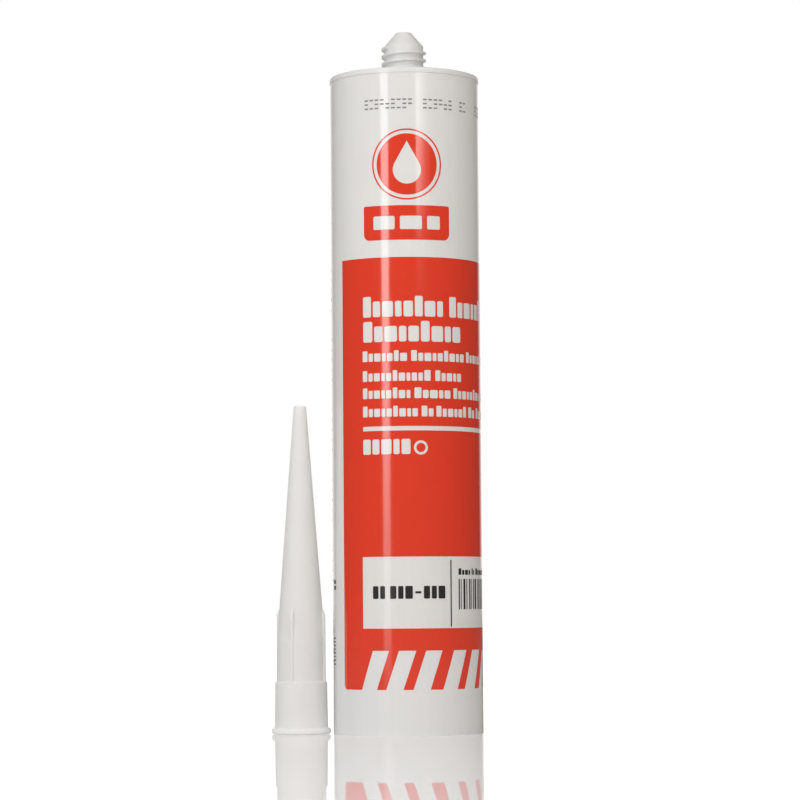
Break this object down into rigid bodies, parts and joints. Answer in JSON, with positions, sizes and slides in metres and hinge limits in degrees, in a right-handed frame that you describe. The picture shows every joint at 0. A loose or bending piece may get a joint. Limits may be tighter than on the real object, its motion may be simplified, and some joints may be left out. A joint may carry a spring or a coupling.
{
  "type": "caulk tube",
  "caption": "Cylindrical sealant cartridge with a threaded outlet, a sliding piston inside and its tapered finned nozzle standing beside it.",
  "frame": {"origin": "on the tube's axis, in the plane of its open rear rim, which it stands on", "axes": "+Z along the tube towards the outlet, -Y towards the middle of the print, -X towards the loose nozzle"},
  "size_m": [0.0695, 0.0494, 0.2315],
  "materials": {
    "tube_plastic": "gloss",
    "head_plastic": "satin",
    "piston_plastic": "satin",
    "sealant_paste": "satin",
    "nozzle_plastic": "satin"
  },
  "bodies": {
    "cartridge": {"tube": "tube_plastic", "head": "head_plastic", "sealant": "sealant_paste", "nozzle": "nozzle_plastic"},
    "plunger": {"piston": "piston_plastic"}
  },
  "joints": [
    {"name": "piston_slide", "type": "slide", "parent": "cartridge", "child": "plunger", "axis": [0, 0, 1], "range_m": [0, 0.18], "deforming": ["sealant"]}
  ]
}
